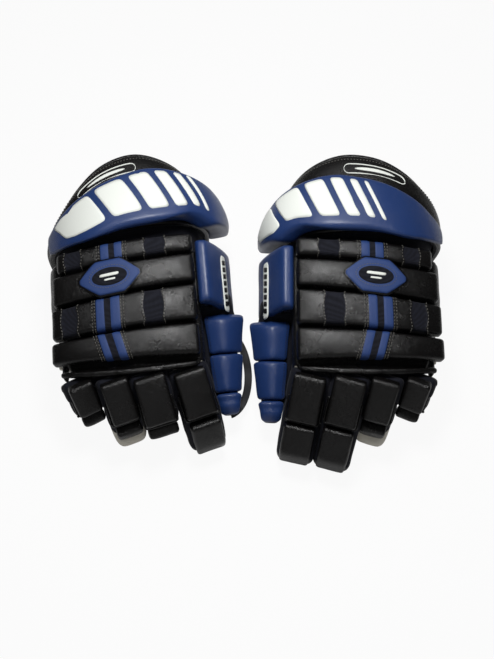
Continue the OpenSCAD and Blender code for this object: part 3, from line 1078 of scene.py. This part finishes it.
def fingerStall(side, name):
    facts = fingers[name]
    root, first = fingerFrames(side, name)[:2]
    droop = facts["droop"][sides.index(side)]
    wide, deep = facts["wide"] + (8 if name in ("index", "pinky") else 6), fingerCut["deep"]
    back = 9
    total = back + 0.62 * facts["first"]
    bm = block((wide, total, deep), 5.5, 4)
    stallLook(bm, deep)

    def shape(co):
        s = total / 2 - co.y - back
        turn = smooth(-9, 7, s)
        frameThere = root @ Matrix.Rotation(radians(droop * turn), 4, "X")
        flare = 1 + 0.5 * smooth(16, -2, s)
        depth = (deep - co.z) * flare
        bulge = 1 + 0.08 * sin(pi * co.z / deep)
        return frameThere @ Vector((co.x * bulge * (1 - 0.03 * turn), -s, -0.3 - depth))

    reshape(bm, shape)
    uneven(bm, 0.6, 16, len(name) + 40)
    place(f"{name}_root_skin", bm, side, ("knit_fabric", "cream_leather"), "hand", [f"{name}_stall"],
          across=(name, root @ Vector((0, 7, -12)), first @ Vector((0, -8, -12))), levels=1)


def fingerTip(side, name):
    facts = fingers[name]
    first, second = fingerFrames(side, name)[1:]
    curl = facts["curl"][sides.index(side)]
    wide, long, far, deep = facts["wide"] + 5, facts["first"], facts["second"], fingerCut["deep"] - 1
    back = 0.5 * long
    total = back + far
    mitre = tan(radians(min(curl, 80) / 2))
    bm = block((wide, total, deep), 7, 3.6)
    if curl > 40:  # the palm leather shows below the short rolls of a bent finger
        stallLook(bm, deep, total / 2 - back - facts["tipRoll"] - 1, 1)
    else:
        stallLook(bm, deep, 8 - total / 2, 2)

    def shape(co):
        s = total / 2 - co.y - back
        depth = deep - co.z
        bulge = 1 + 0.07 * sin(pi * co.z / deep)
        if s < 0:
            bend = mitre * smooth(-back, 0, s)
            return first @ Vector((co.x * bulge, -(long + s) + depth * bend, -depth))
        bend = mitre * smooth(0.75 * far, 0, s)
        if name == "ring":  # its fingertip swells out below the short roll
            depth -= fingerCut["bulge"] * smooth(facts["tipRoll"] - 1, facts["tipRoll"] + 5, s) * co.z / deep
        return second @ Vector((co.x * bulge * (1 - 0.05 * s / far), -s - depth * bend, -depth))

    reshape(bm, shape)
    soften(bm, 0.5, 1)
    uneven(bm, 0.6, 15, len(name) + 60)
    place(f"{name}_tip_skin", bm, side, ("knit_fabric", "cream_leather", "black_leather"), name,
          [f"{name}_tip_stall"], levels=1,
          across=(f"{name}_tip", first @ Vector((0, 8 - long, -8)), second @ Vector((0, -8, -8))))


# Thumb
thumb = {
    "at": (-90.5, 6, 60), "droop": 20, "ends": (0, 39, 79, 100), "wide": (32, 16), "thick": 14, "deep": 19,
    "wrap": (9, 11),  # how far the rolls reach out and down over the outer side
}
onThumb = frameAt(thumb["at"], ("X", thumb["droop"]))


def thumbHalf(s):
    return lerp(*thumb["wide"], s / thumb["ends"][3]) / 2


def thumbRoll(side, index, stitches):
    name = ("base", "mid")[index]
    start, stop = thumb["ends"][index] + (0.8 if index else -3), thumb["ends"][index + 1] - 0.8
    long, wide, thick = stop - start, 2 * thumbHalf((start + stop) / 2), thumb["thick"] - 0.4
    bm = block((wide, long, thick), 3.4, 3.4)
    lean = 0.42 if index == 0 else 0
    out, down = thumb["wrap"]

    def shape(co):
        v = 0.5 - co.y / long
        s = start + v * long
        share = 2 * co.x / wide
        ridge = 1 - 0.46 * abs(share + 0.08) ** 1.3
        half = thumbHalf(s)
        fold = 1 - 0.1 * (2 * v - 1) ** 6
        gather = pucker(co.x, v * long, 0.5, 4.6) + pucker(co.x + 2, (1 - v) * long, 0.5, 4.2)
        rear = co.z * lean * smooth(0.5, 0, v)
        wrap = smooth(-0.1, -1, share)
        x = share * (half + index) - out * wrap * lerp(1, 0.6, (index + v) / 2)
        drop = down * wrap ** 2 * lerp(1, 0.6, index)
        return onThumb @ Vector((x, -s - rear, 0.4 + co.z * ridge * fold + gather * co.z / thick - drop))

    reshape(bm, shape)
    uneven(bm, 0.4, 14, index + (73 if side == "left" else 70))
    uneven(bm, 0.14, 5, index + 75)
    row = []
    for k in range(21):
        x = thumbHalf(lerp(start, stop, k / 20)) - 2.4
        row.append(onThumb @ Vector((x, -lerp(start + 1.5, stop - 1.5, k / 20), 8)))
    sew(stitches, row, treeOf(bm), 3, 1.9, 0.42)
    placePad(f"thumb_roll_{name}", bm, side, ("navy_leather",), "thumb")


def thumbTip(side):
    start, stop = thumb["ends"][2] + 0.8, thumb["ends"][3]
    long, deep = stop - start + 1, thumb["deep"] + 11
    wide = 2 * thumbHalf((start + stop) / 2)
    bm = block((wide, long, deep), 4.2, 3)
    for face in bm.faces:
        face.material_index = 1 if face.calc_center_median().z < 15 else 0

    def shape(co):
        v = 0.5 - co.y / long
        z = co.z - thumb["deep"] + 2
        share = 2 * co.x / wide
        ridge = 1 - 0.35 * abs(share + 0.08) ** 1.5 if z > 0 else 1
        fall = 1 - 0.35 * smooth(0.55, 1, v) if z > 0 else 1
        crease = -1.3 * exp(-((v - 0.34) * 9) ** 2) if z > 2 else 0
        half = thumbHalf(start + v * long) * (1.42 if z > 0 else 1.2) * lerp(1, 0.85, v)
        return onThumb @ Vector((share * half - 2.5, -start - v * long, z * ridge * fall + crease))

    reshape(bm, shape)
    uneven(bm, 0.9, 9, 81 if side == "left" else 84)
    place("thumb_tip_cap", bm, side, ("navy_leather", "knit_fabric"), "thumb_end", ["thumb_roll_tip"],
          levels=1)


def thumbStall(side):
    back, long = 26, thumb["ends"][2] + 12
    total, deep = back + long, thumb["deep"]
    wide = thumb["wide"][0] - 5
    bm = block((wide, total, deep), 5.5, 4)
    stallLook(bm, deep)
    root = Matrix.Translation(thumb["at"])

    def shape(co):
        s = total / 2 - co.y - back
        turn = smooth(-14, 8, s)
        frameThere = root @ Matrix.Rotation(radians(thumb["droop"] * turn), 4, "X")
        grow = 9 * smooth(100, 60, s) if co.x > 0 else 4  # fills the fork of the hand
        half = thumbHalf(max(0, s)) - 1.5 + grow
        flare = 1 + 0.7 * smooth(26, -4, s)
        lean = 4 * smooth(10, -14, s)
        rise = 12 * smooth(-3, -10, s) * co.z / deep
        return frameThere @ Vector((2 * co.x / wide * half + lean, -s, rise - (deep - co.z) * flare))

    reshape(bm, shape)
    uneven(bm, 0.6, 15, 90)
    place("thumb_skin", bm, side, ("knit_fabric", "cream_leather"), "hand", ["thumb_stall"], levels=1,
          across=("thumb", root @ Vector((0, 10, -9)), onThumb @ Vector((0, -9, -9))))


strap = {
    "centre": (-90, -35), "reach": (26, 50), "from": 100, "to": 262,
    "cuts": 200, "band": 8, "thick": 2.2, "height": 13,
}


def addStrap():
    (x0, y0), (wide, deep) = strap["centre"], strap["reach"]
    bm = block((strap["cuts"], strap["band"], strap["thick"]), 0.9, 2.5)

    def shape(co):
        a = radians(lerp(strap["from"], strap["to"], co.x / strap["cuts"] + 0.5))
        lift = 0.8 * sin(a * 3)
        return Vector((x0 + (wide + co.y) * cos(a), y0 + (deep + co.y) * sin(a),
                       strap["height"] + co.z + lift))

    reshape(bm, shape)
    outward(bm)
    place("strap_webbing", bm, "right", ("grey_webbing",), "hand", ["strap"])


# Both gloves
for side in sides:
    backRows = bmesh.new()
    cuffRows = bmesh.new()
    thumbRows = bmesh.new()
    for n in range(1, 5):
        backRoll(side, n, backRows)
    addBadge(side, backRows)
    addShell(side)
    addKnuckleWelt(side)
    addKnuckleLining(side)
    addPalm(side, backRows)
    addSideRoll(side)
    print(side, "hand ready")
    addCuffRoll(side)
    addLiner(side, cuffRows)
    addCuffMark(side)
    addGusset(side)
    print(side, "cuff ready")
    for name in fingerNames:
        fingerRoll(side, name)
        fingerWelt(side, name)
        fingerTipRoll(side, name)
        fingerStall(side, name)
        fingerTip(side, name)
    print(side, "fingers ready")
    for index in range(2):
        thumbRoll(side, index, thumbRows)
    thumbTip(side)
    thumbStall(side)
    place("hand_stitches", backRows, side, ("grey_thread",), "hand")
    place("cuff_stitches", cuffRows, side, ("grey_thread",), "cuff")
    place("thumb_stitches", thumbRows, side, ("dark_thread",), "thumb")
    print(side, "thumb and stitches ready")
addStrap()
